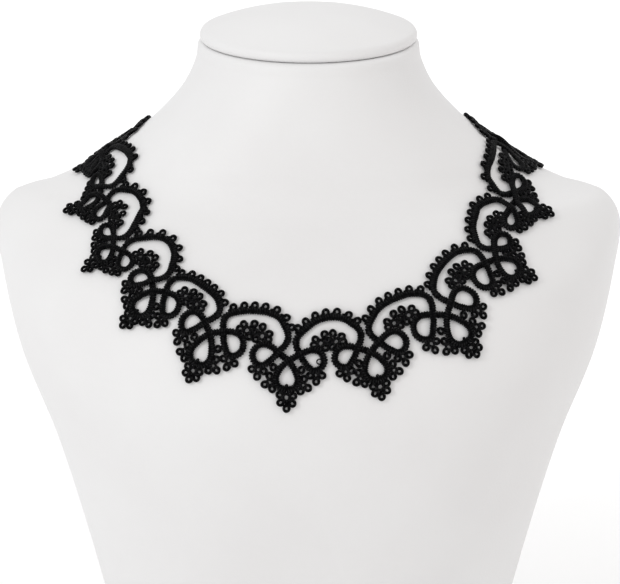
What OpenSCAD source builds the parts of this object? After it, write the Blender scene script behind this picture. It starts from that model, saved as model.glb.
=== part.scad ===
/* [Bust] */
// Height of the neck's top edge above the table
neck_height = 254.6; // [254:0.2:280]
// Half depth of the bust behind the neck's middle
back_depth = 42; // [42:1:60]
// Radius of the neck's padded cap
cap_radius = 42; // [40:0.5:43]
// Thickness of the cap at its middle
cap_thick = 11.5; // [9:0.5:15]
// Slope of the neck's top edge towards the front, in degrees
cap_tilt = 4.2; // [0:0.2:6]
// Gap between the neck's top edge and the cap
cap_gap = 0.3; // [0.2:0.1:0.6]

/* [Lace cord] */
// Width of the knotted cord
cord_width = 2.5; // [2:0.1:2.8]
// Thickness of the knotted cord
cord_thick = 1.9; // [1.4:0.1:2.2]
// Air between the cord and the bust
cord_gap = 0.4; // [0.3:0.1:0.8]
// Radius of one picot, a small loop of bare thread
picot_radius = 1.15; // [0.9:0.05:1.2]
// Number of picots along each arch
picots = 7; // [5:1:8]

/* [Neck cords and clasp] */
// Diameter of the plain cord behind the neck
tie_dia = 2.2; // [1.8:0.1:2.6]
// Length of the clasp at the nape
clasp_length = 12; // [9:0.5:16]
// Diameter of the clasp
clasp_dia = 4.4; // [3.6:0.2:5]

/* [Hidden] */
WHITE = "#f0eeec";
BLACK = "#191919";
STEEL = "#8c8c8c";
// How far the neck's middle lies behind the middle of the whole
neck_y = 27.8;

// Sections of the bust: height, half width, depth in front, roundness in front and behind.
// A roundness of 2 is an ellipse, and more is squarer.
Z = 0;
HALF = 1;
FRONT = 2;
ROUND = 3;
ROUND_BACK = 4;
sections = [
    [0,                73.0,  70.0, 2.5,  4.0],
    [20,               77.5,  75.0, 2.5,  4.0],
    [65,               88.5,  88.0, 2.5,  4.0],
    [105,             100.0,  98.0, 2.5,  3.5],
    [139,             113.0, 100.0, 2.45, 3.0],
    [169,             120.0,  88.0, 2.3,  2.5],
    [185,             121.9,  73.0, 2.0,  2.1],
    [195.5,           114.6,  63.0, 1.9,  2.0],
    [197.8,           104.6,  61.5, 1.9,  2.0],
    [205,              88.5,  57.5, 2.0,  2.0],
    [213,              75.0,  55.0, 2.2,  2.2],
    [223,              61.5,  52.0, 2.3,  2.3],
    [235,              50.0,  48.5, 2.2,  2.2],
    [245,              44.5,  46.0, 2.1,  2.1],
    [neck_height,      42.0,  44.0, 2.0,  2.0],
    [neck_height + 12, 40.0,  43.0, 2.0,  2.0]
];
ring_points = 28;
ring_steps = 2;

// Where each trefoil lies on the bust, as an angle round from the front and a height:
// its joint at the arches, its middle and its tip. The first and last rows only guide the ends.
JOINT = 1;
MIDDLE = 3;
TIP = 5;
trefoils = [
    [-7, -128, 224.5, -133, 219.5, -138, 214.5],
    [-6, -108, 216.8, -111.5, 210.8, -116.1, 204.8],
    [-5, -85, 213.3,  -84, 207.8,   -86, 203.8],
    [-4, -63.8, 202.9, -65.7, 197.7, -67.6, 194.3],
    [-3, -49, 188.4,  -51.5, 183,   -53.4, 177.1],
    [-2, -34, 177.5,  -37, 169,    -40, 161],
    [-1, -19.5, 167,  -22.5, 155,  -24.5, 144.5],
    [0, -3.5, 159.5,  -4.5, 147,   -4.5, 135],
    [1, 12.5, 162,    14, 150,     15, 139],
    [2, 28.8, 172.6,  32.1, 160.9, 35, 151.9],
    [3, 45, 185.5,    48.5, 179.1, 52.5, 174.7],
    [4, 60.7, 200.3,  63.9, 196.4, 66.9, 193.3],
    [5, 82.8, 215.6,  88, 209.5,   90.2, 204.1],
    [6, 108, 217.6,   112.5, 211.6, 117.1, 205.6],
    [7, 128, 225.3,   134, 220.3,  139, 215.3]
];
// The top of each arch between two trefoils, in the same way
TOP = 1;
arch_tops = [
    [-6.5, -118, 225.3], [-5.5, -91.5, 219.4], [-4.5, -67.5, 213], [-3.5, -53.9, 200.5],
    [-2.5, -38.4, 187.6], [-1.5, -25, 175], [-0.5, -9.5, 168], [0.5, 5, 166.5],
    [1.5, 19.5, 171.5], [2.5, 36, 182.5], [3.5, 50.3, 195.7], [4.5, 65.5, 210.5],
    [5.5, 91.5, 220.2], [6.5, 118, 226.1]
];

// The flat pattern: x runs along the neckline from a trefoil's joint, y outwards from it.
joint_radius = 67.2;
joint_angle = 22.6;
middle_out = 13.8;
tip_out = 26;
top_out = -7.3;
// Route of the cord, half a trefoil and half an arch. The last point of ring_route is beyond its end.
arch_route = [[11.75, -8.5], [8.4, -7.4], [6, -6], [3.8, -3.8], [2.2, -1.9], [1.5, -0.4]];
ring_route = [[1.5, 0.7], [2, 3.1], [3.8, 5.6], [9, 11.2], [12, 10.3], [13, 7.4],
    [11.6, 4.4], [8.8, 3.6], [3.8, 5.6], [0, 8.2], [-2.7, 11.3], [-4.2, 15.2], [-2.9, 18.3],
    [0, 19.2], [2.9, 18.3]];
// Point of ring_route where the ring is cut in two tubes, its outermost
ring_cut = 5;
// Points of ring_route that pass over another strand, and how high on the left and right half
SIDE_CROSSING = 8;
LOW_CROSSING = 9;
side_rise = 0.7;
low_rise = [0.35, 1.05];
// Groups of picots, drawn as plates with a few corners: x, y, turn of the first corner from x,
// radius and number of corners
AT_X = 0;
AT_Y = 1;
TURN = 2;
RADIUS = 3;
CORNERS = 4;
flowers = [
    [0, 22.9, 90, 4.4, 5],
    [6.6, 16.8, 5, 2.9, 4], [-6.6, 16.8, -5, 2.9, 4],
    [10.6, 13.2, 85, 3.3, 3], [-10.6, 13.2, 95, 3.3, 3],
    [10.2, 1.6, -88, 3.4, 3], [-10.2, 1.6, -92, 3.4, 3],
    [0, 18.4, 90, 1.3, 4]
];
// The plain cord behind the neck, from the last trefoil to the clasp: angle and height
tie_left_route = [
    [-117.8, 219.15], [-120.7, 220.7], [-126, 223.7], [-133, 227.3], [-141, 230.6],
    [-152, 233.4], [-163, 234.5], [-171, 234.5]
];
tie_right_route = [
    [118, 219.9], [121, 221.4], [126.3, 224.4], [133.3, 227.8], [141, 231],
    [152, 233.6], [163, 234.5], [171, 234.5]
];
clasp_height = 234.5;

// Slope of column c of table t at row i, from the rows beside it
function slope(t, c, i) =
    let (lo = max(0, i - 1), hi = min(len(t) - 1, i + 1))
    (t[hi][c] - t[lo][c]) / (t[hi][0] - t[lo][0]);

// Row of table t that starts the stretch holding x
function row_below(t, x, i = 0) =
    (i >= len(t) - 2 || t[i + 1][0] > x) ? i : row_below(t, x, i + 1);

// Column c of table t at x: a cubic through the rows with those slopes
function smooth(t, c, x) =
    let (i = row_below(t, x), h = t[i + 1][0] - t[i][0], u = (x - t[i][0]) / h,
        u2 = u * u, u3 = u2 * u)
    (2 * u3 - 3 * u2 + 1) * t[i][c] + (u3 - 2 * u2 + u) * h * slope(t, c, i)
    + (3 * u2 - 2 * u3) * t[i + 1][c] + (u3 - u2) * h * slope(t, c, i + 1);

// Point of the bust's surface at an angle round from the front and a height
function on_bust(a, z) =
    let (s = sin(a), c = cos(a), depth = c > 0 ? smooth(sections, FRONT, z) : back_depth,
        n = smooth(sections, c > 0 ? ROUND : ROUND_BACK, z),
        r = pow(pow(abs(s) / smooth(sections, HALF, z), n) + pow(abs(c) / depth, n), -1 / n))
    [r * s, neck_y - r * c, z];

function unit(v) = v / norm(v);

// Outward normal of the bust's surface at the same place
function bust_normal(a, z) =
    unit(cross(on_bust(a + 0.5, z) - on_bust(a - 0.5, z), on_bust(a, z + 0.5) - on_bust(a, z - 0.5)));

// Angle and height on the bust of the flat pattern's point p beside trefoil m:
// a cubic outwards through the arch top, joint, middle and tip at that place on the neckline
function place(m, p) =
    let (s = m + atan2(p[0], joint_radius + p[1]) / joint_angle,
        y = norm([p[0], joint_radius + p[1]]) - joint_radius,
        outs = [top_out, 0, middle_out, tip_out],
        share = [for (i = [0:3])
            product([for (j = [0:3]) i == j ? 1 : (y - outs[j]) / (outs[i] - outs[j])])])
    [for (k = [0, 1])
        share[0] * smooth(arch_tops, TOP + k, s) + share[1] * smooth(trefoils, JOINT + k, s)
        + share[2] * smooth(trefoils, MIDDLE + k, s) + share[3] * smooth(trefoils, TIP + k, s)];

function product(v, i = 0) = i == len(v) ? 1 : v[i] * product(v, i + 1);

// Point at a lift above the bust, for an angle and height
function lifted(q, lift) = on_bust(q[0], q[1]) + lift * bust_normal(q[0], q[1]);

// Points of a smooth curve through the points v, with n steps between two of them
function curve(v, n) =
    let (last = len(v) - 1)
    [for (i = [0:last - 1], j = [0:n - 1])
        let (a = i == 0 ? 2 * v[0] - v[1] : v[i - 1], b = v[i], c = v[i + 1],
            d = i == last - 1 ? 2 * v[last] - v[last - 1] : v[i + 2], u = j / n)
        (2 * b + (c - a) * u + (2 * a - 5 * b + 4 * c - d) * u * u
            + (3 * b - a - 3 * c + d) * u * u * u) / 2,
     v[last]];

function slice(v, from, to) = [for (i = [from:to]) v[i]];

function flip(v) = [for (p = v) [-p[0], p[1]]];

// Closed tube along places on the bust, four sided, w wide and t thick, its middle at a lift.
// The third number of a place raises it further. It runs from place a to place b, and places
// before and after these only turn its ends, so that two tubes meet on the same four corners.
module tube(places, w, t, lift, a = 0, b = undef) {
    last = len(places) - 1;
    n = (is_undef(b) ? last : b) - a + 1;
    all = [for (q = places) lifted(q, lift + (len(q) > 2 ? q[2] : 0))];
    mid = slice(all, a, a + n - 1);
    up = [for (i = [a:a + n - 1]) bust_normal(places[i][0], places[i][1])];
    side = [for (i = [a:a + n - 1]) unit(cross(up[i - a], all[min(last, i + 1)] - all[max(0, i - 1)]))];
    shape = [[w / 2, -t / 2], [w / 3, t / 2], [-w / 3, t / 2], [-w / 2, -t / 2]];
    points = [for (i = [0:n - 1], s = shape) mid[i] + s[0] * side[i] + s[1] * up[i]];
    around = [for (i = [0:n - 2], k = [0:3])
        let (a = 4 * i + k, b = 4 * i + (k + 1) % 4)
        each [[a, b + 4, b], [a, a + 4, b + 4]]];
    polyhedron(points, concat([[0, 1, 2, 3]], around, [[for (k = [3:-1:0]) 4 * (n - 1) + k]]));
}

cord_lift = cord_gap + cord_thick / 2;
picot_thick = 1.1;

// A group of picots beside the cord, as one plate on the bust
module flower(m, f) {
    edge = [for (k = [0:f[CORNERS] - 1]) let (a = f[TURN] + 360 * k / f[CORNERS])
        place(m, [f[AT_X] + f[RADIUS] * cos(a), f[AT_Y] + f[RADIUS] * sin(a)])];
    plate(concat([for (q = edge) lifted(q, cord_lift - picot_thick / 2)],
        [for (q = edge) lifted(q, cord_lift + picot_thick / 2)]));
}

// Convex plate through its corners
module plate(corners) {
    hull() {
        polyhedron(corners, [for (i = [0:len(corners) - 3]) [i, i + 1, i + 2]]);
    }
}

// Half of a trefoil's cord: the ring on one side and the far half of the drop.
// The left half is side -1 and the right half is side 1.
module trefoil_half(m, side) {
    places = [for (i = [0:len(ring_route) - 1])
        let (rise = i == SIDE_CROSSING ? side_rise : i == LOW_CROSSING ? low_rise[max(0, side)] : 0)
        concat(place(m, [side * ring_route[i][0], ring_route[i][1]]), [rise])];
    tube(places, cord_width, cord_thick, cord_lift, 0, ring_cut);
    tube(places, cord_width, cord_thick, cord_lift, ring_cut, len(places) - 2);
}

// Trefoil m: two side rings and the drop between them, one cord, with its flowers of picots
module trefoil(m) {
    color(BLACK) union() {
        trefoil_half(m, -1);
        trefoil_half(m, 1);
        for (f = flowers) flower(m, f);
    }
}

// Arch from trefoil m to the next one, with its row of picots along the inner edge
module arch(m) {
    out = [for (i = [len(arch_route) - 1:-1:0]) arch_route[i]];
    back = flip(arch_route);
    places = concat([for (p = out) place(m, p)], [for (i = [1:len(back) - 1]) place(m + 1, back[i])]);
    color(BLACK) union() {
        last = len(places) - 1;
        tube(places, cord_width, cord_thick, cord_lift, 1, last - 1);
        foot(places[1], places[0]);
        foot(places[last - 1], places[last]);
        for (i = [1:picots]) arch_picot(places, 1.7 + (last - 3.4) * (i - 1) / (picots - 1));
    }
}

// Narrower end of an arch, where it meets the next one
module foot(from, to) {
    mid = [lifted(from, cord_lift), lifted(to, cord_lift)];
    along = unit(mid[1] - mid[0]);
    up = bust_normal(to[0], to[1]);
    side = unit(cross(up, along));
    plate([for (i = [0, 1], x = [-1, 1], h = [-1, 1])
        mid[i] + (i == 0 ? cord_width / 2.2 : cord_width / 3.6) * x * side + cord_thick / 2.2 * h * up]);
}

// Picot on the inner side of an arch, at a step along its places
module arch_picot(places, step) {
    i = floor(step);
    q = places[i] + (step - i) * (places[i + 1] - places[i]);
    up = bust_normal(q[0], q[1]);
    along = unit(lifted(places[i + 1], cord_lift) - lifted(places[i], cord_lift)) * picot_radius;
    out = cross(up, along) / picot_radius;
    foot = out * cord_width / 4;
    far = out * (cord_width / 2 + 2 * picot_radius);
    corners = [foot - 0.7 * along, foot + 0.7 * along, far + 0.6 * along, far - 0.6 * along];
    plate([for (h = [-0.5, 0.5], e = corners) lifted(q, cord_lift + h * picot_thick) + e]);
}

// Plain cord from the lace to the clasp
module tie(route) {
    color(BLACK) tube(curve(route, 2), tie_dia, tie_dia, cord_gap + tie_dia / 2);
}

// Plain barrel clasp across the nape
module clasp_barrel() {
    at = lifted([180, clasp_height], cord_gap + clasp_dia / 2);
    color(STEEL) translate(at) rotate([0, 90, 0])
        cylinder(d = clasp_dia, h = clasp_length, center = true, $fn = 12);
}

// Heights of the bust's rings, with steps between the rows of its sections up to the neck's edge
top_row = len(sections) - 2;
ring_heights = concat(
    [for (i = [0:top_row - 1], j = [0:ring_steps - 1])
        sections[i][Z] + (sections[i + 1][Z] - sections[i][Z]) * j / ring_steps],
    [sections[top_row][Z]]);

// Corner k of the ring at height z, spaced evenly round an ellipse of the same width and depth
function ring_angle(z, k) =
    let (t = 360 * k / ring_points, depth = cos(t) > 0 ? smooth(sections, FRONT, z) : back_depth)
    atan2(smooth(sections, HALF, z) * sin(t), depth * cos(t));

// How far the neck's sloping top edge lies above its middle, y behind the middle
function tilt_rise(y, z) = z == neck_height ? y * tan(cap_tilt) : 0;

module bust() {
    rows = len(ring_heights);
    n = ring_points;
    points = [for (z = ring_heights, k = [0:n - 1])
        let (p = on_bust(ring_angle(z, k), z)) p + [0, 0, tilt_rise(p[1] - neck_y, z)]];
    around = [for (i = [0:rows - 2], k = [0:n - 1])
        let (a = n * i + k, b = n * i + (k + 1) % n)
        each [[a, b + n, b], [a, a + n, b + n]]];
    color(WHITE)
        polyhedron(points, concat([[for (k = [0:n - 1]) k]], around,
            [[for (k = [n - 1:-1:0]) n * (rows - 1) + k]]));
}

// Outline of the neck's cap, up its rounded rim and over the dome: radius and height
cap_rim = 5.1;
cap_outline = concat(
    [[0, 0], [cap_radius - 1.2, 0], [cap_radius, 1.6], [cap_radius, 2.8], [cap_radius - 0.6, 4]],
    [for (s = [1, 0.88, 0.74, 0.58, 0.4, 0.2, 0])
        [(cap_radius - 1.9) * s, cap_rim + (cap_thick - cap_rim) * (1 - pow(s, 2.3))]]);

module cap() {
    color(WHITE) translate([0, neck_y, neck_height + cap_gap]) rotate([cap_tilt, 0, 0])
        rotate_extrude($fn = 72) polygon(cap_outline);
}

bust();  // bust_body
cap();  // neck_cap
trefoil(0);  // trefoil_c
trefoil(-1);  // trefoil_l1
trefoil(-2);  // trefoil_l2
trefoil(-3);  // trefoil_l3
trefoil(-4);  // trefoil_l4
trefoil(-5);  // trefoil_l5
trefoil(-6);  // trefoil_l6
trefoil(1);  // trefoil_r1
trefoil(2);  // trefoil_r2
trefoil(3);  // trefoil_r3
trefoil(4);  // trefoil_r4
trefoil(5);  // trefoil_r5
trefoil(6);  // trefoil_r6
arch(-1);  // arch_l1
arch(-2);  // arch_l2
arch(-3);  // arch_l3
arch(-4);  // arch_l4
arch(-5);  // arch_l5
arch(-6);  // arch_l6
arch(0);  // arch_r1
arch(1);  // arch_r2
arch(2);  // arch_r3
arch(3);  // arch_r4
arch(4);  // arch_r5
arch(5);  // arch_r6
tie(tie_left_route);  // tie_left
tie(tie_right_route);  // tie_right
clasp_barrel();  // clasp
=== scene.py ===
"""Dresses the tatted lace necklace and its neck bust for rendering.

Lengths in the tables are millimetres; the meshes are made in metres.
"""

import math

import bmesh
import bpy
import numpy as np
from mathutils import Matrix


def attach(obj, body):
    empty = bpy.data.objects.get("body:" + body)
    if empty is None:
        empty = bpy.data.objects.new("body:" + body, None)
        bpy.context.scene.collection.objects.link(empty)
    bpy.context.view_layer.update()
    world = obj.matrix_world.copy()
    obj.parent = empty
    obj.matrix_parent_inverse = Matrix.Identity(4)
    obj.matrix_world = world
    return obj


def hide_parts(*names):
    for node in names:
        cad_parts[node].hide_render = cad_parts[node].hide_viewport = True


bl_info = {
    "name": "Tatted lace necklace",
    "version": (1, 0, 0),
    "blender": (4, 5, 0),
    "location": "View3D > Sidebar > Lace",
    "description": "Builds a tatted cotton necklace on a plain neck bust",
    "category": "Object",
}

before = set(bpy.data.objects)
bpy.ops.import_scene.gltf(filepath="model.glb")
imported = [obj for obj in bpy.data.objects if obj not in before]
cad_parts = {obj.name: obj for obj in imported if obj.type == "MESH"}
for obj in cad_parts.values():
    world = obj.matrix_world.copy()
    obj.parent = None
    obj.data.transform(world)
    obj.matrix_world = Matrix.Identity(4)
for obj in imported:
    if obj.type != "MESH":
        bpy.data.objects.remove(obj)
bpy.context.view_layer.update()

MM = 0.001

# Sizes of the bust

NECK_Y = 27.8  # how far the neck's middle lies behind the origin
NECK_HEIGHT = 254.6
BACK_DEPTH = 42.0  # from the neck's middle to the back, at every level
CAP_TILT = 4.2  # degrees down to the front
CAP_RADIUS = 42.0
CAP_THICK = 11.5
CAP_GAP = 0.3

# height, half width, depth in front, roundness in front, roundness behind
SECTIONS = np.array([
    [0, 73.0, 70.0, 2.5, 4.0],
    [20, 77.5, 75.0, 2.5, 4.0],
    [65, 88.5, 88.0, 2.5, 4.0],
    [105, 100.0, 98.0, 2.5, 3.5],
    [139, 113.0, 100.0, 2.45, 3.0],
    [169, 120.0, 88.0, 2.3, 2.5],
    [185, 121.9, 73.0, 2.0, 2.1],
    [195.5, 114.6, 63.0, 1.9, 2.0],
    [197.8, 104.6, 61.5, 1.9, 2.0],
    [205, 88.5, 57.5, 2.0, 2.0],
    [213, 75.0, 55.0, 2.2, 2.2],
    [223, 61.5, 52.0, 2.3, 2.3],
    [235, 50.0, 48.5, 2.2, 2.2],
    [245, 44.5, 46.0, 2.1, 2.1],
    [254.6, 42.0, 44.0, 2.0, 2.0],
    [266.6, 40.0, 43.0, 2.0, 2.0],
])

# Where the lace lies

# number, then angle round from the front and height of the joint, the middle and the tip
TREFOILS = np.array([
    [-7, -128, 224.5, -133, 219.5, -138, 214.5],
    [-6, -108, 216.8, -111.5, 210.8, -116.1, 204.8],
    [-5, -85, 213.3, -84, 207.8, -86, 203.8],
    [-4, -63.8, 202.9, -65.7, 197.7, -67.6, 194.3],
    [-3, -49, 188.4, -51.5, 183, -53.4, 177.1],
    [-2, -34, 177.5, -37, 169, -40, 161],
    [-1, -19.5, 167, -22.5, 155, -24.5, 144.5],
    [0, -3.5, 159.5, -4.5, 147, -4.5, 135],
    [1, 12.5, 162, 14, 150, 15, 139],
    [2, 28.8, 172.6, 32.1, 160.9, 35, 151.9],
    [3, 45, 185.5, 48.5, 179.1, 52.5, 174.7],
    [4, 60.7, 200.3, 63.9, 196.4, 66.9, 193.3],
    [5, 82.8, 215.6, 88, 209.5, 90.2, 204.1],
    [6, 108, 217.6, 112.5, 211.6, 117.1, 205.6],
    [7, 128, 225.3, 134, 220.3, 139, 215.3],
])
# the top of the arch between two trefoils: place along the neckline, angle, height
ARCH_TOPS = np.array([
    [-6.5, -118, 225.3], [-5.5, -91.5, 219.4], [-4.5, -67.5, 213], [-3.5, -53.9, 200.5],
    [-2.5, -38.4, 187.6], [-1.5, -25, 175], [-0.5, -9.5, 168], [0.5, 5, 166.5],
    [1.5, 19.5, 171.5], [2.5, 36, 182.5], [3.5, 50.3, 195.7], [4.5, 65.5, 210.5],
    [5.5, 91.5, 220.2], [6.5, 118, 226.1],
])
LEVELS = np.array([-7.3, 0.0, 13.8, 26.0])  # arch tops, joints, middles and tips, outwards
JOINT_RADIUS = 67.2  # radius at the joints of the ring that the pattern is bent to
JOINT_ANGLE = 22.6  # degrees of that ring from one joint to the next

# The lace's own pattern

# Half an arch, from its top down to the joint, and half a trefoil, from the joint round the
# side ring and down the far side of the drop. x runs along the neckline, y outwards.
ARCH_ROUTE = np.array([
    [11.75, -8.5], [8.4, -7.4], [6, -6], [3.8, -3.8], [2.1, -1.7], [1.3, 0.5], [1.5, 1.9],
])
FIRST_PICOT = 5.2  # length along an arch from its end to its first picot
PICOT_OUT = 1.85  # from the arch's middle line to the middle of a picot
STEM = [[-2.1, 0.75], [-1.35, 1.2], [-0.75, 1.85]]  # the thread up to a picot: along and out
RING_ROUTE = np.array([
    [1.3, 0.5], [2, 3.1], [3.8, 5.6], [5.8, 8.5], [9.1, 11.3], [12, 10.3], [13.1, 7.4],
    [11.6, 4.4], [9.1, 3.4], [6.4, 4], [3.8, 5.6], [0, 8.2], [-2.7, 11.3], [-4.2, 15.2],
    [-2.9, 18.3], [0, 19.2],
])
RING_START = 2  # point of RING_ROUTE where the side ring starts
SIDE_CROSSING = 10  # point of RING_ROUTE where the side ring comes back to its start
LOW_CROSSING = 11  # point of RING_ROUTE where the two halves cross
ROUTE_STEPS = 8  # steps of the curve between two points of a route
# Knotted rings with picots round them: x, y of the ring's middle, its radius,
# then the picots' middles as x, y pairs from the ring's middle. Given for the right half.
TIP_GROUP = [[0, 21.7, 1.25], [[-2.45, -0.65], [2.45, -0.65], [-2.2, 1.95], [2.2, 1.95], [0, 3.85]]]
SIDE_GROUPS = [
    [[6.15, 16.9, 1.0], [[1.75, 0.85], [0.15, -2.35], [-0.9, 2.2]]],
    [[10.4, 12.8, 1.0], [[-1.9, 0.3], [0.35, 2.4], [2.3, 0.0]]],
    [[10.7, 0.9, 1.15], [[0.65, -3.3], [-2.2, -1.2], [-2.35, 0.75], [2.45, -1.0], [1.95, 1.4]]],
]
OPEN_PICOTS = [[5.1, 11.3], [-5.1, 11.3]]
INNER_KNOT = [0.0, 17.5]
STRAY_PICOT = [11.3, 7.7]  # a thin loop that stands open inside the middle trefoil's right ring
PICOT_STRETCH = 1.12  # middle line of a picot's thread: length away from the cord over width across
# points of the thread up to a group's picot, as shares of the way to it from the ring's middle
STEM_SHARES = (0.3, 0.5, 0.7)
THREAD_SIDES = 7
# How far a cord rises over another and how far the lower one dips, at a side ring's crossing,
# and how far the right and the left half rise where the halves cross. The spreads are in steps.
CROSSING_RISE, CROSSING_DIP, CROSSING_SPREAD = 0.75, 0.2, 9
LOW_RISE, LOW_SPREAD = {1: 0.8, -1: 0.1}, 8
# Powers of crowding() that a trefoil's thread and picots, and its cord's width, shrink by
THREAD_SHRINK, CORD_SHRINK = 0.3, 0.55


# Curves and the bust's surface

def smooth(table, column, x):
    """Cubic through the table's rows: at each row the slope is that between its two
    neighbours, and a cubic joins the rows with those values and slopes."""
    xs, ys = table[:, 0], table[:, column]
    n = len(xs)
    low, high = np.maximum(np.arange(n) - 1, 0), np.minimum(np.arange(n) + 1, n - 1)
    slope = (ys[high] - ys[low]) / (xs[high] - xs[low])
    x = np.clip(np.asarray(x, float), xs[0], xs[-1])
    i = np.clip(np.searchsorted(xs, x, side="right") - 1, 0, n - 2)
    h = xs[i + 1] - xs[i]
    u = (x - xs[i]) / h
    return ((2 * u**3 - 3 * u**2 + 1) * ys[i] + (u**3 - 2 * u**2 + u) * h * slope[i]
            + (3 * u**2 - 2 * u**3) * ys[i + 1] + (u**3 - u**2) * h * slope[i + 1])


def on_bust(angle, height, swell=0.0):
    """Point of the bust's surface: in each level section a superellipse, whose radius at an
    angle is (|sin/a|^n + |cos/b|^n)^(-1/n), a and b the half width and depth, n the roundness."""
    angle, height = np.asarray(angle, float), np.asarray(height, float)
    s, c = np.sin(np.radians(angle)), np.cos(np.radians(angle))
    front = c > 0
    depth = np.where(front, smooth(SECTIONS, 2, height), BACK_DEPTH)
    n = np.where(front, smooth(SECTIONS, 3, height), smooth(SECTIONS, 4, height))
    r = ((np.abs(s) / smooth(SECTIONS, 1, height)) ** n + (np.abs(c) / depth) ** n) ** (-1 / n)
    r = r + swell
    return np.stack([r * s, NECK_Y - r * c, height + 0 * r], axis=-1)


def unit(v):
    """Vectors over their own lengths."""
    return v / np.maximum(np.linalg.norm(v, axis=-1, keepdims=True), 1e-12)


def bust_normal(angle, height):
    """Outward normal: the cross product of the surface's steps round and upwards."""
    angle, height = np.asarray(angle, float), np.asarray(height, float)
    return unit(np.cross(on_bust(angle + 0.5, height) - on_bust(angle - 0.5, height),
                         on_bust(angle, height + 0.5) - on_bust(angle, height - 0.5)))


def place(number, points):
    """Angle and height on the bust of the flat pattern's points beside one trefoil. The pattern
    is bent to a ring, and at each place along it a cubic goes outwards through the arch top,
    the joint, the middle and the tip."""
    x, out = points[..., 0], JOINT_RADIUS + points[..., 1]
    along = number + np.degrees(np.arctan2(x, out)) / JOINT_ANGLE
    y = np.hypot(x, out) - JOINT_RADIUS
    result = np.zeros(points.shape)
    for i in range(4):
        others = [j for j in range(4) if j != i]
        share = np.prod([(y - LEVELS[j]) / (LEVELS[i] - LEVELS[j]) for j in others], axis=0)
        for k in range(2):
            table, column = (ARCH_TOPS, 1 + k) if i == 0 else (TREFOILS, 2 * i - 1 + k)
            result[..., k] += share * smooth(table, column, along)
    return result


def crowding(number):
    """How close the bust draws the pattern together at one trefoil: the square root of the
    area that a square millimetre of the pattern covers there, no more than 1."""
    spots = place(number, np.array([[-2, 10.0], [2, 10], [0, 8], [0, 12]]))
    a, b, c, d = on_bust(spots[:, 0], spots[:, 1])
    return min(1.0, math.sqrt(np.linalg.norm(np.cross(b - a, d - c)) / 16))


def lifted(where, lift):
    """Points at a height over the bust, for angle and height pairs."""
    return (on_bust(where[..., 0], where[..., 1])
            + np.asarray(lift)[..., None] * bust_normal(where[..., 0], where[..., 1]))


def through(points, n):
    """Smooth curve through points, n steps between two: each piece is the cubic whose end
    slopes are half the step between the neighbours on both sides."""
    p = np.vstack([2 * points[0] - points[1], points, 2 * points[-1] - points[-2]])
    u = (np.arange(n) / n)[None, :, None]
    a, b, c, d = (p[i:len(points) - 1 + i, None, :] for i in range(4))
    body = (2 * b + (c - a) * u + (2 * a - 5 * b + 4 * c - d) * u**2
            + (3 * b - a - 3 * c + d) * u**3) / 2
    return np.vstack([body.reshape(-1, points.shape[1]), points[-1:]])


def even(line, extra, step, whole=None):
    """Points at even distances along a line, with the extra columns carried along. With whole,
    the line is cut in a whole number of lengths near that many millimetres, such as a knot's,
    and each has the same number of points."""
    gone = np.concatenate([[0], np.cumsum(np.linalg.norm(np.diff(line, axis=0), axis=1))])
    count = max(2, int(round(gone[-1] / step)))
    if whole:
        count = max(1, int(round(gone[-1] / whole))) * max(2, int(round(whole / step)))
    at = np.linspace(0, gone[-1], count + 1)
    pick = lambda values: np.stack([np.interp(at, gone, values[:, k]) for k in range(values.shape[1])], -1)
    return pick(line), pick(extra), at


# Meshes

class Sheets:
    """Gathers grids of points into one mesh. Each point has a pair of pattern coordinates and a
    crown: 1 where a thread stands out, less in the grooves between threads, where the cotton's
    material paints shade."""

    def __init__(self):
        self.points, self.faces, self.pattern, self.crown, self.count = [], [], [], [], 0

    def grid(self, points, u, v, crown=1.0, round_u=False):
        """Adds a grid: rows along u and columns round v, each four neighbours one face."""
        rows, columns = points.shape[:2]
        i = np.arange(rows if round_u else rows - 1)[:, None]
        j = np.arange(columns)[None, :]
        i2, j2 = (i + 1) % rows, (j + 1) % columns
        at = lambda a, b: (self.count + a * columns + b + 0 * (i + j)).reshape(-1)
        self.faces.append(np.stack([at(i, j), at(i, j2), at(i2, j2), at(i2, j)], -1))
        self.points.append(points.reshape(-1, 3))
        self.pattern.append(np.stack([np.broadcast_to(u[:, None], (rows, columns)),
                                      np.broadcast_to(v[None, :], (rows, columns))], -1).reshape(-1, 2))
        self.crown.append(np.broadcast_to(crown, (rows, columns)).reshape(-1))
        self.count += rows * columns

    def mesh(self, name, material):
        """One mesh of all the grids, in metres, with the pattern coordinates as its UV map and
        the crown as an attribute, by which the cotton's material paints shade."""
        points = np.vstack(self.points) * MM
        faces = np.vstack(self.faces)
        pattern = np.vstack(self.pattern)
        mesh = bpy.data.meshes.new(name)
        mesh.vertices.add(len(points))
        mesh.vertices.foreach_set("co", points.ravel())
        mesh.loops.add(faces.size)
        mesh.loops.foreach_set("vertex_index", faces.ravel().astype(np.int32))
        mesh.polygons.add(len(faces))
        mesh.polygons.foreach_set("loop_start", np.arange(0, faces.size, 4, dtype=np.int32))
        mesh.update(calc_edges=True)
        layer = mesh.uv_layers.new(name="thread")
        layer.data.foreach_set("uv", pattern[faces.ravel()].ravel())
        crown = mesh.attributes.new("crown", "FLOAT", "POINT")
        crown.data.foreach_set("value", np.concatenate(self.crown).astype(np.float32))
        closed = bmesh.new()
        closed.from_mesh(mesh)
        bmesh.ops.remove_doubles(closed, verts=closed.verts, dist=2e-6)
        bmesh.ops.recalc_face_normals(closed, faces=closed.faces)
        closed.to_mesh(mesh)
        closed.free()
        mesh.polygons.foreach_set("use_smooth", np.ones(len(mesh.polygons), bool))
        mesh.materials.append(material)
        piece = bpy.data.objects.new(name, mesh)
        bpy.context.scene.collection.objects.link(piece)
        return piece


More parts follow.
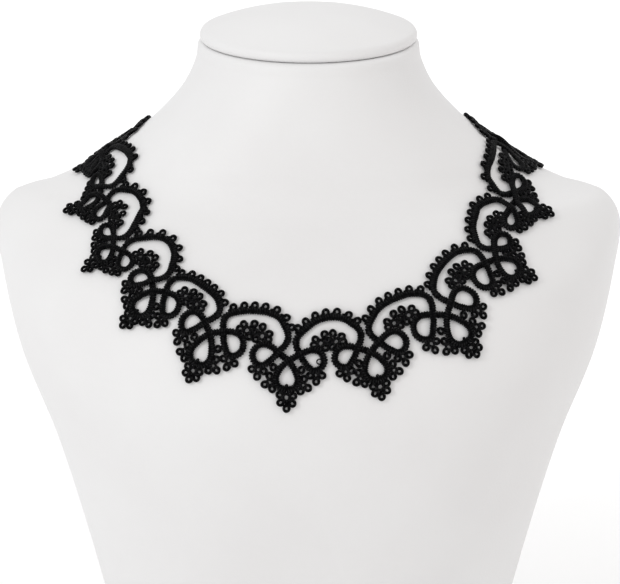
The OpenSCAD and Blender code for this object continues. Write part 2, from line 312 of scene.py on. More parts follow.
def capped(points):
    """A tube's grid with its two ends drawn in to their middles, so that it is closed."""
    first = np.repeat(points[:1].mean(1, keepdims=True), points.shape[1], 1)
    last = np.repeat(points[-1:].mean(1, keepdims=True), points.shape[1], 1)
    return np.concatenate([first, points, last])


def knotted_cord(sheets, where, lift, cord, outer=1, closed=False):
    """A row of half hitches round a core. The section is an ellipse, lying flat on the bust.
    The knots' threads cut it into ribs: 1 - groove * share * (1 - |cos(pi * s)|^0.7), s the
    length in knots, leaned over so that the knots slant, share full on the outer edge and
    0.8 on the inner one. A narrow valley runs along the front between the ribs and the
    smoother row of loops inside, and the radius varies slowly, by 2.5 % either way. Outer is
    the side on which the picots stand."""
    slant = 0.22  # knots, from the cord's middle to either edge
    valley_at, valley_width = 112.5, 15  # degrees round the section, from the outer edge
    line = lifted(where, lift)
    line, where, at = even(line, where, cord.knot_mm / cord.steps, cord.knot_mm)
    up = bust_normal(where[:, 0], where[:, 1])
    if closed:
        line, up, at = line[:-1], up[:-1], at[:-1]
        along = unit(np.roll(line, -1, 0) - np.roll(line, 1, 0))
    else:
        along = unit(np.gradient(line, axis=0))
    side = outer * unit(np.cross(up, along))
    up = outer * np.cross(along, side)
    line = line - cord.inward * side
    turn = np.linspace(0, 2 * np.pi, cord.sides, endpoint=False)
    share = 0.8 + 0.2 * np.clip((np.cos(turn) + 0.4) / 0.8, 0, 1)
    knots = at[:, None] / cord.knot_mm + slant * np.cos(turn)[None, :]
    wave = 1 - cord.groove * share * (1 - np.abs(np.cos(np.pi * knots)) ** 0.7)
    valley = 1 - cord.valley * np.exp(-((np.degrees(turn) - valley_at) / valley_width) ** 2)[None, :]
    uneven = 1 + 0.025 * np.sin(1.31 * at + 2 * np.sin(0.47 * at))[:, None]
    # The crown, how far the section stands out, is where the cotton's material paints shade: low in the
    # grooves and the valley.
    crown = wave * valley
    r = crown * uneven
    grid = (line[:, None, :]
            + (r * np.cos(turn) * cord.width / 2)[..., None] * side[:, None, :]
            + (r * np.sin(turn) * cord.thick / 2)[..., None] * up[:, None, :])
    if closed:
        sheets.grid(grid, at, turn, crown, round_u=True)
    else:
        ends = lambda rows: np.concatenate([rows[:1], rows, rows[-1:]])
        sheets.grid(capped(grid), ends(at), turn, ends(crown))


def picot(sheets, middle, up, away, cord):
    """A loop of bare thread: a ring about its middle in the plane of the bust, a little longer
    away from the cord than across, its thread's section a circle with two twisted plies."""
    side = unit(np.cross(up, away))
    s = np.linspace(0, 2 * np.pi, cord.picot_steps, endpoint=False)
    turn = np.linspace(0, 2 * np.pi, THREAD_SIDES, endpoint=False)
    r = cord.picot_mm / 2 - cord.thread_mm / 2
    ring = unit(np.cos(s)[:, None] * side + np.sin(s)[:, None] * away)
    centre = middle + r * (np.cos(s)[:, None] * side + PICOT_STRETCH * np.sin(s)[:, None] * away)
    ply = np.cos(2 * turn[None, :] + 3 * s[:, None])
    grid = centre[:, None, :] + cord.thread_mm / 2 * (1 + 0.07 * ply[..., None]) * (
        np.cos(turn)[None, :, None] * ring[:, None, :] + np.sin(turn)[None, :, None] * up)
    # The crown follows the plies, so shade is painted on the thread between them.
    sheets.grid(grid[:, ::-1], s * r, turn, 0.84 + 0.16 * ply[:, ::-1], round_u=True)


def ring_of_knots(sheets, number, x, y, radius, cord):
    """A small closed ring of knots round a point of the flat pattern."""
    s = np.linspace(0, 2 * np.pi, 33)
    flat = np.stack([x + radius * np.cos(s), y + radius * np.sin(s)], -1)
    where = place(number, flat)
    small = cord.copy(width=cord.thread_mm, thick=1.35, sides=8, steps=5, inward=0, valley=0)
    knotted_cord(sheets, where, np.full(len(where), cord.base), small, closed=True)


def stem(sheets, points, up, cord):
    """The bare thread that climbs from the knots to a picot: a tube along a smooth curve."""
    line = through(points, 3)
    along = unit(np.gradient(line, axis=0))
    side = unit(np.cross(up, along))
    turn = np.linspace(0, 2 * np.pi, THREAD_SIDES, endpoint=False)
    grid = line[:, None, :] + cord.thread_mm / 2 * (
        np.cos(turn)[None, :, None] * side[:, None, :] + np.sin(turn)[None, :, None] * up)
    grid = capped(grid)
    # A crown of 0.8 gives the whole bare thread some painted shade.
    sheets.grid(grid, np.arange(len(grid)) * 0.3, turn, 0.8)


class Cord:
    """Sizes of the cord in millimetres, read from the panel's values."""

    def __init__(self, sizes):
        self.width = sizes.cord_width * 1000
        self.thick = sizes.cord_thick * 1000
        self.thread_mm = sizes.thread * 1000
        self.picot_mm = sizes.picot * 1000
        self.knot_mm = sizes.knot * 1000
        self.groove = sizes.groove
        self.base = sizes.gap * 1000 + self.thick / 2
        self.inward = sizes.inward * 1000
        self.valley = 0.2  # depth over the radius
        # points round the cord, along a knot and round a picot
        self.sides, self.steps, self.picot_steps = 16, 6, 20

    def copy(self, **changes):
        """The same sizes with some of them changed."""
        other = object.__new__(Cord)
        other.__dict__.update(self.__dict__, **changes)
        return other


def bump(n, centre, width, height):
    """A smooth rise over n points: height * exp(-((i - centre) / width)^2)."""
    return height * np.exp(-((np.arange(n) - centre) / width) ** 2)


def trefoil_piece(number, name, cord, material):
    """Two side rings and a drop of knotted cord, the small rings on them, and the picots."""
    sheets = Sheets()
    tight = crowding(number)
    small = tight**THREAD_SHRINK
    cord = cord.copy(width=cord.width * tight**CORD_SHRINK, picot_mm=cord.picot_mm * small,
                     thread_mm=cord.thread_mm * small)
    for side in (-1, 1):
        where = place(number, through(RING_ROUTE * [side, 1], ROUTE_STEPS))
        n = len(where)
        over, under = (SIDE_CROSSING, RING_START) if side > 0 else (RING_START, SIDE_CROSSING)
        lift = cord.base + bump(n, over * ROUTE_STEPS, CROSSING_SPREAD, CROSSING_RISE)
        lift = lift - bump(n, under * ROUTE_STEPS, CROSSING_SPREAD, CROSSING_DIP)
        lift = lift + bump(n, LOW_CROSSING * ROUTE_STEPS, LOW_SPREAD, LOW_RISE[side])
        knotted_cord(sheets, where, lift, cord, outer=-side)
        for (x, y, radius), picots in SIDE_GROUPS:
            group(sheets, number, side * x, y, radius, [[side * a, b] for a, b in picots], cord)
    (x, y, radius), picots = TIP_GROUP
    group(sheets, number, x, y, radius, picots, cord)
    for x, y in OPEN_PICOTS:
        one_picot(sheets, number, [x, y], [x, y - 5.0], cord)
    one_picot(sheets, number, INNER_KNOT, [0, 24.0], cord.copy(picot_mm=1.25, thread_mm=0.6))
    if number == 0:
        one_picot(sheets, number, STRAY_PICOT, [14, 7.5], cord.copy(picot_mm=2.3, thread_mm=0.5))
    return sheets.mesh(name, material)


def one_picot(sheets, number, flat, origin, cord):
    """A picot at a point of the flat pattern, standing away from another point."""
    both = lifted(place(number, np.array([flat, origin], float)), np.full(2, cord.base))
    where = place(number, np.array([flat], float))
    up = bust_normal(where[:, 0], where[:, 1])[0]
    away = both[0] - both[1]
    away = unit(away - up * np.dot(away, up))
    picot(sheets, both[0], up, away, cord)


def group(sheets, number, x, y, radius, picots, cord):
    """A small ring of knots and its picots, each with the thread that leads to it."""
    ring_of_knots(sheets, number, x, y, radius, cord)
    for a, b in picots:
        one_picot(sheets, number, [x + a, y + b], [x, y], cord)
        where = place(number, np.array([[x + a * share, y + b * share] for share in STEM_SHARES]))
        stem(sheets, lifted(where, np.full(3, cord.base)), bust_normal(*where[1]), cord)


def arch_piece(number, name, cord, count, material):
    """An arch of knotted cord between two trefoils, with picots at even lengths along its
    upper edge, standing off it in the plane of the bust."""
    sheets = Sheets()
    out = place(number, through(ARCH_ROUTE[::-1], ROUTE_STEPS))
    back = place(number + 1, through(ARCH_ROUTE * [-1, 1], ROUTE_STEPS))
    where = np.vstack([out, back[1:]])
    lift = np.full(len(where), cord.base)
    knotted_cord(sheets, where, lift, cord)
    line, where, at = even(lifted(where, lift), where, 0.2)
    along = unit(np.gradient(line, axis=0))
    up = bust_normal(where[:, 0], where[:, 1])
    away = unit(np.cross(up, along))
    first, last = FIRST_PICOT, at[-1] - FIRST_PICOT
    for s in np.linspace(first, last, count):
        i = int(np.argmin(np.abs(at - s)))
        picot(sheets, line[i] + away[i] * PICOT_OUT, up[i], away[i], cord)
        stem(sheets, line[i] + np.array([a * along[i] + b * away[i] for a, b in STEM]), up[i], cord)
    return sheets.mesh(name, material)


def bust_piece(name, material):
    """The bust's cover: the superellipse sections at close heights, with a rounded edge at the
    base, and at the neck's edge a soft lip that turns in to the seam under the cap. Towards
    that edge the levels tilt, with the square of the height. The base is closed by rings that
    shrink to its middle."""
    columns = 200
    turn = np.linspace(0, 360, columns, endpoint=False)
    base_edge, levels = 1.5, 170
    tilted, swollen = 40, 6  # how far below the neck's edge the tilt and the lip's swelling begin
    # the lip's height below the neck's edge, its swelling, its radius inwards, its height over the edge
    lip, lip_swell, lip_in, lip_up = 1.6, 0.5, 1.5, 0.1
    quarter = np.linspace(0, np.pi / 2, 5)[:-1]
    heights = np.concatenate([
        base_edge * (1 - np.cos(quarter)),
        np.linspace(base_edge, NECK_HEIGHT - lip, levels),
    ])
    inset = np.concatenate([base_edge * (1 - np.sin(quarter)), np.zeros(levels)])
    rows = []

    def ring(height, swell, rise=0.0):
        """The bust's section at a height, grown outwards and raised towards the back."""
        a = smooth(SECTIONS, 1, height)
        b = np.where(np.cos(np.radians(turn)) > 0, smooth(SECTIONS, 2, height), BACK_DEPTH)
        angle = np.degrees(np.arctan2(a * np.sin(np.radians(turn)), b * np.cos(np.radians(turn))))
        points = on_bust(angle, np.full(columns, height), swell)
        points[:, 2] += rise * (points[:, 1] - NECK_Y)
        return points

    slope = math.tan(math.radians(CAP_TILT))
    base = ring(0.0, -base_edge)
    middle = np.array([0.0, NECK_Y - 12.0, 0.0])
    for share in (0.0, 0.25, 0.5, 0.75):
        rows.append(middle + (base - middle) * share)
    for height, back in zip(heights, inset):
        up = np.clip((height - (NECK_HEIGHT - tilted)) / (tilted - lip), 0, 1) ** 2
        edge = np.clip((height - (NECK_HEIGHT - swollen)) / (swollen - lip), 0, 1)
        rows.append(ring(height, lip_swell * edge**2 * (3 - 2 * edge) - back, slope * up))
    for s in np.linspace(0, np.pi * 0.62, 9)[1:]:
        height = NECK_HEIGHT - lip + (lip + lip_up) * math.sin(min(s, np.pi / 2))
        rows.append(ring(height, lip_swell - lip_in * (1 - math.cos(s)), slope))
    top = rows[-1]
    centre = top.mean(0)
    for share in (0.6, 0.2, 0.0):
        rows.append(centre + (top - centre) * share)
    sheets = Sheets()
    grid = np.stack(rows)
    sheets.grid(grid, np.arange(len(rows)) * 2.0, turn)
    return sheets.mesh(name, material)


def cap_piece(name, material):
    """The neck's padded cap: a profile of radius and height turned round the neck's axis. The
    rim is rounded, tightly below and softly above. From it the dome's height grows with
    1 - (r / R)^2.3 to the middle."""
    below = np.linspace(-0.5 * np.pi, 0, 9)[:-1]
    above = np.linspace(0, 0.34 * np.pi, 12)
    inner = np.linspace(1, 0, 40)[1:]
    rim = 1.8  # height of the widest place
    tight, soft, tall = 1.3, 2.6, 2.8  # rounding below the rim, and across and up above it
    edge_r = CAP_RADIUS - soft + soft * math.cos(above[-1])
    edge_h = rim + tall * math.sin(above[-1])
    radius = np.concatenate([[0, CAP_RADIUS * 0.5, CAP_RADIUS * 0.85],
                             CAP_RADIUS - tight + tight * np.cos(below),
                             CAP_RADIUS - soft + soft * np.cos(above),
                             edge_r * inner])
    height = np.concatenate([[0, 0, 0], rim + rim * np.sin(below), rim + tall * np.sin(above),
                             edge_h + (CAP_THICK - edge_h) * (1 - inner**2.3)])
    turn = np.linspace(0, 2 * np.pi, 160, endpoint=False)
    x = radius[:, None] * np.sin(turn)[None, :]
    y = -radius[:, None] * np.cos(turn)[None, :]
    z = height[:, None] + 0 * x
    a = math.radians(CAP_TILT)
    grid = np.stack([x, y * math.cos(a) - z * math.sin(a) + NECK_Y,
                     y * math.sin(a) + z * math.cos(a) + NECK_HEIGHT + CAP_GAP], -1)
    sheets = Sheets()
    sheets.grid(grid, height, turn)
    return sheets.mesh(name, material)


TIE_START = [11.2, 0.9]  # where the cord behind the neck leaves the last trefoil's pattern
TIE_WIDTH, TIE_THICK = 2.3, 2.2
NAPE_GAP = 0.4  # air between the bust and that cord or the clasp
# angle and height of that cord, which has no picots
TIE_ROUTES = {
    "tie_left": np.array([[-120.7, 220.7], [-126, 223.7], [-133, 227.3], [-141, 230.6],
                          [-152, 233.4], [-163, 234.5], [-171, 234.5]]),
    "tie_right": np.array([[121, 221.4], [126.3, 224.4], [133.3, 227.8], [141, 231],
                           [152, 233.6], [163, 234.5], [171, 234.5]]),
}
CLASP_HEIGHT = 234.5


def tie_piece(node, name, cord, material):
    """The cord behind the neck: the same knots as the lace, in a rounder row."""
    sheets = Sheets()
    side = -1 if node == "tie_left" else 1
    start = place(6 * side, np.array([TIE_START]) * [side, 1])
    route = through(np.vstack([start, TIE_ROUTES[node]]), 12)
    plain = cord.copy(width=TIE_WIDTH, thick=TIE_THICK, inward=0)
    knotted_cord(sheets, route, np.full(len(route), NAPE_GAP + TIE_THICK / 2), plain)
    return sheets.mesh(name, material)


def clasp_piece(name, length, width, material):
    """A barrel clasp: a profile of radius along its length, turned round that length. The
    profile has a domed cap and two raised rings at each end, and a fine seam in the middle. The
    middle part has 20 shallow flutes, as deep as 0.03 of the radius."""
    half, dome = length / 2, 1.3
    s = np.linspace(-half, half, 161)
    d = half - np.abs(s)
    r = width / 2 * (0.86 + 0.14 * np.cos(np.pi * s / length))
    r = r * np.sqrt(np.clip(1 - ((dome - np.minimum(d, dome)) / dome) ** 2, 0.02, 1))
    for centre in (1.9, 2.9):
        r = r + 0.2 * np.exp(-((d - centre) / 0.28) ** 2) * (d > dome)
    r = r - 0.22 * np.exp(-(s / 0.16) ** 2)
    r = np.minimum(r, width / 2)
    turn = np.linspace(0, 2 * np.pi, 40, endpoint=False)
    flutes = 1 - 0.03 * (np.abs(s) < half - 3.6)[:, None] * (0.5 + 0.5 * np.cos(20 * turn))[None, :]
    middle = lifted(np.array([[180.0, CLASP_HEIGHT]]), np.array([NAPE_GAP + width / 2]))[0]
    grid = np.stack([middle[0] + s[:, None] + 0 * turn[None, :],
                     middle[1] + r[:, None] * flutes * np.cos(turn)[None, :],
                     middle[2] + r[:, None] * flutes * np.sin(turn)[None, :]], -1)
    sheets = Sheets()
    grid = capped(grid)
    sheets.grid(grid, np.concatenate([s[:1], s, s[-1:]]), turn)
    return sheets.mesh(name, material)


# Materials

def linear(colour):
    """sRGB hex, such as "#f2efec", to linear red, green, blue and alpha."""
    parts = [int(colour[i:i + 2], 16) / 255 for i in (1, 3, 5)]
    return tuple(p / 12.92 if p <= 0.04045 else ((p + 0.055) / 1.055) ** 2.4 for p in parts) + (1.0,)


def add(tree, kind, links=(), **settings):
    """Adds a node: settings are its properties or, with names of its inputs, their values;
    links are (this input, other node, other output)."""
    node = tree.nodes.new(kind)
    for key, value in settings.items():
        if hasattr(node, key):
            setattr(node, key, value)
    for key, value in settings.items():
        label = key.replace("_", " ")
        if not hasattr(node, key):
            node.inputs[label].default_value = value
    for target, source, output in links:
        tree.links.new(source.outputs[output], node.inputs[target])
    return node


def new_material(name):
    """An empty node material and its shader's tree."""
    material = bpy.data.materials.new(name)
    material.use_nodes = True
    material.node_tree.nodes.clear()
    return material, material.node_tree


def leatherette_material(sizes):
    """White leatherette: a matt vinyl skin embossed with a fine pebble grain, on cloth. The
    grain's cells are about 0.9 mm; it gives a soft, broken highlight. The tone drifts a little
    over patches of about 70 mm."""
    material, tree = new_material("white_leatherette")
    place_of = add(tree, "ShaderNodeTexCoord")
    cells = add(tree, "ShaderNodeTexVoronoi", [("Vector", place_of, "Object")], Scale=1 / sizes.grain,
                feature="SMOOTH_F1", Smoothness=0.6, Randomness=1.0)
    fine = add(tree, "ShaderNodeTexNoise", [("Vector", place_of, "Object")], Scale=1 / (sizes.grain * 0.35),
               Detail=3.0, Roughness=0.6)
    broad = add(tree, "ShaderNodeTexNoise", [("Vector", place_of, "Object")], Scale=14.0, Detail=3.0)
    mixed = add(tree, "ShaderNodeMath", [(0, cells, "Distance"), (1, fine, "Fac")], operation="ADD")
    tone = add(tree, "ShaderNodeValToRGB", [("Fac", broad, "Fac")])
    tone.color_ramp.elements[0].position, tone.color_ramp.elements[1].position = 0.3, 0.75
    tone.color_ramp.elements[0].color = linear("#e4e3e3")
    tone.color_ramp.elements[1].color = linear("#e9e9e9")
    relief = add(tree, "ShaderNodeBump", [("Height", mixed, "Value")], Strength=0.22, Distance=0.00012)
    gloss = add(tree, "ShaderNodeMapRange", [("Value", fine, "Fac")], From_Min=0.3, From_Max=0.7,
                To_Min=0.46, To_Max=0.62)
    shader = add(tree, "ShaderNodeBsdfPrincipled", [
        ("Base Color", tone, "Color"), ("Normal", relief, "Normal"), ("Roughness", gloss, "Result")])
    shader.inputs["IOR"].default_value = 1.5
    shader.inputs["Specular IOR Level"].default_value = 0.45
    add(tree, "ShaderNodeOutputMaterial", [("Surface", shader, "BSDF")])
    return material


def cotton_material(sizes):
    """Black pearl cotton: mercerised, two-ply twisted thread with a faint silky sheen and short
    fibres. The ply lines slant across the thread, one each 0.29 mm along it, and the fibres are
    about 0.2 mm. Shade is painted on it between the threads, darker where the crown is low, and
    patches of about 1 mm, a knot or so, are painted lighter as a painted sheen."""
    material, tree = new_material("black_pearl_cotton")
    thread = add(tree, "ShaderNodeUVMap", uv_map="thread")
    place_of = add(tree, "ShaderNodeTexCoord")
    ply = add(tree, "ShaderNodeTexWave", [("Vector", thread, "UV")], wave_type="BANDS",
              bands_direction="DIAGONAL", wave_profile="SIN", Scale=2.2, Distortion=0.6, Detail=1.0)
    fibres = add(tree, "ShaderNodeTexNoise", [("Vector", place_of, "Object")], Scale=5200.0, Detail=2.0)
    # Painted sheen: patches of about 1 mm, a knot or so, are painted lighter.
    shade = add(tree, "ShaderNodeTexNoise", [("Vector", place_of, "Object")], Scale=900.0, Detail=2.0)
    crown = add(tree, "ShaderNodeAttribute", attribute_name="crown")
    # Painted shade: where the crown is low, in the grooves, the thread is painted darker.
    clear_of_painted_shade = add(tree, "ShaderNodeMapRange", [("Value", crown, "Fac")], From_Min=0.6, From_Max=1.0)
    lit = add(tree, "ShaderNodeMath", [(0, shade, "Fac"), (1, clear_of_painted_shade, "Result")], operation="MULTIPLY")
    height = add(tree, "ShaderNodeMath", [(0, ply, "Fac"), (1, fibres, "Fac")], operation="ADD")
    # The tone runs from the dark to the lighter colour by the painted shade and the painted sheen.
    tone = add(tree, "ShaderNodeValToRGB", [("Fac", lit, "Value")])
    tone.color_ramp.elements[0].position, tone.color_ramp.elements[1].position = 0.27, 0.6
    tone.color_ramp.elements[0].color = tuple(sizes.cotton_dark) + (1.0,)
    tone.color_ramp.elements[1].color = tuple(sizes.cotton_painted_sheen) + (1.0,)
    relief = add(tree, "ShaderNodeBump", [("Height", height, "Value")], Strength=0.5, Distance=0.00009)
    shader = add(tree, "ShaderNodeBsdfPrincipled", [
        ("Base Color", tone, "Color"), ("Normal", relief, "Normal")])
    shader.inputs["Roughness"].default_value = 0.3
    shader.inputs["IOR"].default_value = 1.53
    shader.inputs["Specular IOR Level"].default_value = 0.03
    add(tree, "ShaderNodeOutputMaterial", [("Surface", shader, "BSDF")])
    return material


def steel_material():
    """Blackened steel: turned on a lathe and darkened, so fine rings run round it, one each
    0.13 mm, and small worn spots, about 1 mm, show a little brighter."""
    material, tree = new_material("blackened_steel")
    place_of = add(tree, "ShaderNodeTexCoord")
    rings = add(tree, "ShaderNodeTexWave", [("Vector", place_of, "Object")], wave_type="BANDS",
                bands_direction="X", Scale=2400.0, Distortion=1.5, Detail=2.0)
    wear = add(tree, "ShaderNodeTexNoise", [("Vector", place_of, "Object")], Scale=900.0, Detail=4.0)
    tone = add(tree, "ShaderNodeValToRGB", [("Fac", wear, "Fac")])
    tone.color_ramp.elements[0].color = linear("#3a3a3c")
    tone.color_ramp.elements[1].color = linear("#77777a")
    relief = add(tree, "ShaderNodeBump", [("Height", rings, "Fac")], Strength=0.15, Distance=0.00005)
    shader = add(tree, "ShaderNodeBsdfPrincipled", [
        ("Base Color", tone, "Color"), ("Normal", relief, "Normal")])
    shader.inputs["Metallic"].default_value = 1.0
    shader.inputs["Roughness"].default_value = 0.34
    add(tree, "ShaderNodeOutputMaterial", [("Surface", shader, "BSDF")])
    return material


def material_named(name, make):
    """A material made once and then shared."""
    return bpy.data.materials.get(name) or make()


# The panel's values

class LaceSizes(bpy.types.PropertyGroup):
    """Sizes and colours of the lace."""

    cord_width: bpy.props.FloatProperty(
        name="Cord width", description="Width of the knotted cord",
        default=0.0028, min=0.002, max=0.0034, subtype="DISTANCE", unit="LENGTH", precision=5)
    cord_thick: bpy.props.FloatProperty(
        name="Cord thickness", description="Thickness of the knotted cord",
        default=0.0017, min=0.0014, max=0.0024, subtype="DISTANCE", unit="LENGTH", precision=5)
    thread: bpy.props.FloatProperty(
        name="Thread", description="Diameter of the bare thread in a picot",
        default=0.00117, min=0.0006, max=0.0014, subtype="DISTANCE", unit="LENGTH", precision=5)
    picot: bpy.props.FloatProperty(
        name="Picot", description="Diameter of a picot over its thread",
        default=0.0031, min=0.0018, max=0.0034, subtype="DISTANCE", unit="LENGTH", precision=5)
    knot: bpy.props.FloatProperty(
        name="Knot", description="Length of one knot along the cord",
        default=0.00092, min=0.0007, max=0.0012, subtype="DISTANCE", unit="LENGTH", precision=5)
    groove: bpy.props.FloatProperty(
        name="Groove", description="Depth of the groove between knots, over the radius",
        default=0.42, min=0.0, max=0.5, subtype="FACTOR")
    inward: bpy.props.FloatProperty(
        name="Set in", description="How far the cord's middle lies inside its drawn line",
        default=0.00015, min=0.0, max=0.0006, subtype="DISTANCE", unit="LENGTH", precision=5)
    gap: bpy.props.FloatProperty(
        name="Gap", description="Air between the lace and the bust",
        default=0.00025, min=0.0001, max=0.001, subtype="DISTANCE", unit="LENGTH", precision=5)
    picots: bpy.props.IntProperty(
        name="Picots on an arch", description="Number of picots along one arch",
        default=7, min=5, max=9)
    # The cotton's dark colour goes where shade is painted in the grooves; its light colour is a painted
    # sheen, on patches of the crowns.
    cotton_dark: bpy.props.FloatVectorProperty(
        name="Cotton, dark", description="Darker shade of the black cotton",
        default=linear("#020203")[:3], size=3, subtype="COLOR", min=0, max=1)
    cotton_painted_sheen: bpy.props.FloatVectorProperty(
        name="Cotton, light", description="Lighter shade of the black cotton",
        default=linear("#222223")[:3], size=3, subtype="COLOR", min=0, max=1)


class BustSizes(bpy.types.PropertyGroup):
    """Sizes of the bust's cover, the clasp and the stage."""

    grain: bpy.props.FloatProperty(
        name="Grain", description="Width of one pebble of the leatherette's grain",
        default=0.0009, min=0.0005, max=0.003, subtype="DISTANCE", unit="LENGTH", precision=5)
    clasp_length: bpy.props.FloatProperty(
        name="Clasp length", description="Length of the barrel clasp",
        default=0.012, min=0.009, max=0.016, subtype="DISTANCE", unit="LENGTH", precision=5)
    clasp_width: bpy.props.FloatProperty(
        name="Clasp diameter", description="Diameter of the barrel clasp",
        default=0.0044, min=0.0036, max=0.005, subtype="DISTANCE", unit="LENGTH", precision=5)
    camera_angle: bpy.props.FloatProperty(
        name="Camera angle", description="Angle of the camera above level",
        default=math.radians(14.0), subtype="ANGLE", unit="ROTATION")
    camera_distance: bpy.props.FloatProperty(
        name="Camera distance", description="From the camera to the chest",
        default=1.09, min=0.5, max=3.0, subtype="DISTANCE", unit="LENGTH")
    lens: bpy.props.FloatProperty(
        name="Lens", description="Focal length on a 36 mm wide sensor",
        default=163.96, min=35, max=300, unit="CAMERA")
    world: bpy.props.FloatProperty(
        name="Room light", description="Strength of the even light of the room",
        default=0.83, min=0.0, max=3.0)
    floor: bpy.props.FloatProperty(
        name="Floor", description="Half width of the floor",
        default=3.0, min=1.0, max=6.0, subtype="DISTANCE", unit="LENGTH")


# Operators

# each trefoil's number along the neckline, and for each arch that of the trefoil at its left end
TREFOIL_NAMES = {"trefoil_c": 0}
TREFOIL_NAMES.update({"trefoil_l%d" % i: -i for i in range(1, 7)})
TREFOIL_NAMES.update({"trefoil_r%d" % i: i for i in range(1, 7)})
ARCH_NAMES = {"arch_l%d" % i: -i for i in range(1, 7)}
ARCH_NAMES.update({"arch_r%d" % i: i - 1 for i in range(1, 7)})


def finish_piece(piece, node):
    """Ties a piece to the frame: it rides on the one body and stands for its CAD node."""
    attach(piece, "root")
    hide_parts(node)


class OBJECT_OT_neck_bust(bpy.types.Operator):
    """Make the bust's leatherette cover and the neck's cap"""

    bl_idname = "object.lace_neck_bust"
    bl_label = "Neck bust"

    def execute(self, context):
        sizes = context.scene.bust_sizes
        material = material_named("white_leatherette", lambda: leatherette_material(sizes))
        finish_piece(bust_piece("bust_cover", material), "bust_body")
        finish_piece(cap_piece("cap_cover", material), "neck_cap")
        return {"FINISHED"}


class OBJECT_OT_trefoils(bpy.types.Operator):
    """Make the thirteen lobed motifs of the lace"""

    bl_idname = "object.lace_trefoils"
    bl_label = "Trefoils"

    def execute(self, context):
        sizes = context.scene.lace_sizes
        material = material_named("black_pearl_cotton", lambda: cotton_material(sizes))
        cord = Cord(sizes)
        for node, number in TREFOIL_NAMES.items():
            finish_piece(trefoil_piece(number, node + "_lace", cord, material), node)
        return {"FINISHED"}


class OBJECT_OT_arches(bpy.types.Operator):
    """Make the arches between the motifs, with their picots"""

    bl_idname = "object.lace_arches"
    bl_label = "Arches"

    def execute(self, context):
        sizes = context.scene.lace_sizes
        material = material_named("black_pearl_cotton", lambda: cotton_material(sizes))
        cord = Cord(sizes)
        for node, number in ARCH_NAMES.items():
            piece = arch_piece(number, node + "_lace", cord, sizes.picots, material)
            finish_piece(piece, node)
        return {"FINISHED"}


class OBJECT_OT_neck_cord(bpy.types.Operator):
    """Make the plain cord behind the neck and its clasp"""

    bl_idname = "object.lace_neck_cord"
    bl_label = "Neck cord and clasp"

    def execute(self, context):
        sizes, bust = context.scene.lace_sizes, context.scene.bust_sizes
        cotton = material_named("black_pearl_cotton", lambda: cotton_material(sizes))
        steel = material_named("blackened_steel", steel_material)
        cord = Cord(sizes)
        for node in TIE_ROUTES:
            finish_piece(tie_piece(node, node + "_cord", cord, cotton), node)
        clasp = clasp_piece("clasp_barrel", bust.clasp_length * 1000, bust.clasp_width * 1000, steel)
        finish_piece(clasp, "clasp")
        return {"FINISHED"}


def plain_material(name, colour, roughness):
    """Matt painted card for the floor: one even pale colour."""
    material, tree = new_material(name)
    shader = add(tree, "ShaderNodeBsdfPrincipled")
    shader.inputs["Base Color"].default_value = linear(colour)
    shader.inputs["Roughness"].default_value = roughness
    shader.inputs["Specular IOR Level"].default_value = 0.1
    add(tree, "ShaderNodeOutputMaterial", [("Surface", shader, "BSDF")])
    return material


CAMERA_AIM = np.array([0.58, NECK_Y - 25.0, 160.0])
LIGHTS = [  # name, place and the point that it is turned to in metres, size, power, colour
    ("key", (-1.25, -1.2, 1.1), (0, 0, 0.17), 0.5, 7.8, "#ffffff"),
    ("fill", (1.2, -0.9, 0.9), (0, 0, 0.17), 1.4, 1.0, "#ffd2b4"),
    ("back", (0.3, 1.25, 1.5), (0.4, 2.4, 0.0), 2.0, 19.0, "#ffffff"),
]


def area_light(name, where, aim, size, power, colour):
    """A square soft light at a place, turned to a point."""
    data = bpy.data.lights.new(name, "AREA")
    data.shape, data.size, data.energy = "SQUARE", size, power
    data.color = linear(colour)[:3]
    light = bpy.data.objects.new(name, data)
    bpy.context.scene.collection.objects.link(light)
    turn_to(light, where, aim)


def turn_to(thing, where, aim):
    """Puts a light or camera at a place, looking at a point, with up upwards."""
    back = unit(np.array(where, float) - np.array(aim, float))
    right = unit(np.cross([0, 0, 1], back))
    up = np.cross(back, right)
    rows = np.vstack([np.stack([right, up, back, np.array(where, float)], -1), [0, 0, 0, 1]])
    thing.matrix_world = Matrix([list(map(float, row)) for row in rows])


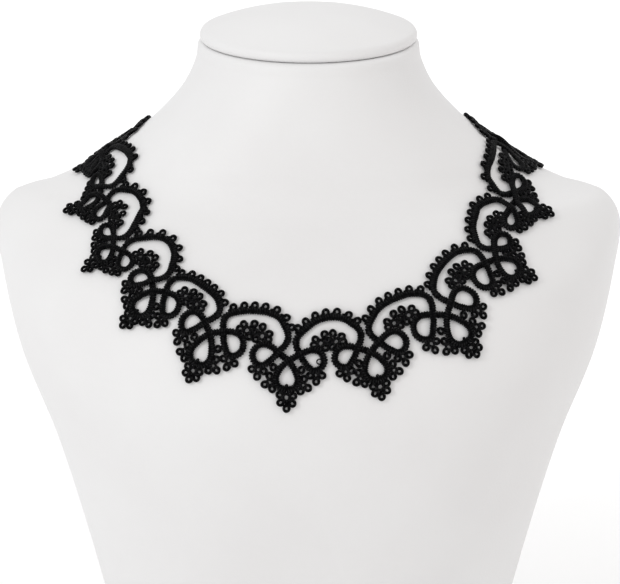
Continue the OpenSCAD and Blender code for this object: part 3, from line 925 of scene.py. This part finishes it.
class OBJECT_OT_lace_stage(bpy.types.Operator):
    """Make the floor, the lights and the camera"""

    bl_idname = "object.lace_stage"
    bl_label = "Stage"

    def execute(self, context):
        sizes = context.scene.bust_sizes
        half = sizes.floor
        mesh = bpy.data.meshes.new("floor")
        corners = [(-half, -half, 0), (half, -half, 0), (half, half, 0), (-half, half, 0)]
        mesh.from_pydata(corners, [], [(0, 1, 2, 3)])
        mesh.materials.append(plain_material("white_card", "#fafafa", 0.9))
        floor = bpy.data.objects.new("floor", mesh)
        context.scene.collection.objects.link(floor)
        world = bpy.data.worlds.new("soft_room")
        context.scene.world = world
        world.use_nodes = True
        world.node_tree.nodes["Background"].inputs["Color"].default_value = linear("#ffffff")
        world.node_tree.nodes["Background"].inputs["Strength"].default_value = sizes.world
        context.scene.view_settings.view_transform = "Standard"
        for light in LIGHTS:
            area_light(*light)
        data = bpy.data.cameras.new("camera")
        data.sensor_width, data.sensor_fit, data.lens = 36.0, "HORIZONTAL", sizes.lens
        data.clip_start, data.clip_end = 0.05, 20.0
        camera = bpy.data.objects.new("camera", data)
        context.scene.collection.objects.link(camera)
        aim = CAMERA_AIM * MM
        a = sizes.camera_angle
        where = aim + sizes.camera_distance * np.array([0, -math.cos(a), math.sin(a)])
        turn_to(camera, where, aim)
        context.scene.camera = camera
        return {"FINISHED"}


class VIEW3D_PT_lace(bpy.types.Panel):
    """Lists the necklace's values and the steps that make it"""

    bl_label = "Tatted lace necklace"
    bl_idname = "VIEW3D_PT_lace"
    bl_space_type = "VIEW_3D"
    bl_region_type = "UI"
    bl_category = "Lace"

    def draw(self, context):
        layout = self.layout
        for group_name in ("lace_sizes", "bust_sizes"):
            values = getattr(context.scene, group_name)
            column = layout.column(align=True)
            for key in values.bl_rna.properties.keys():
                if key not in ("rna_type", "name"):
                    column.prop(values, key)
        for operator in OPERATORS:
            layout.operator(operator.bl_idname)


OPERATORS = (OBJECT_OT_neck_bust, OBJECT_OT_trefoils, OBJECT_OT_arches, OBJECT_OT_neck_cord,
             OBJECT_OT_lace_stage)
CLASSES = (LaceSizes, BustSizes) + OPERATORS + (VIEW3D_PT_lace,)


def register():
    for item in CLASSES:
        bpy.utils.register_class(item)
    bpy.types.Scene.lace_sizes = bpy.props.PointerProperty(type=LaceSizes)
    bpy.types.Scene.bust_sizes = bpy.props.PointerProperty(type=BustSizes)


def unregister():
    del bpy.types.Scene.bust_sizes
    del bpy.types.Scene.lace_sizes
    for item in reversed(CLASSES):
        bpy.utils.unregister_class(item)


def main():
    register()
    bpy.ops.object.lace_stage()
    bpy.ops.object.lace_neck_bust()
    bpy.ops.object.lace_trefoils()
    bpy.ops.object.lace_arches()
    bpy.ops.object.lace_neck_cord()


if __name__ == "__main__":
    main()
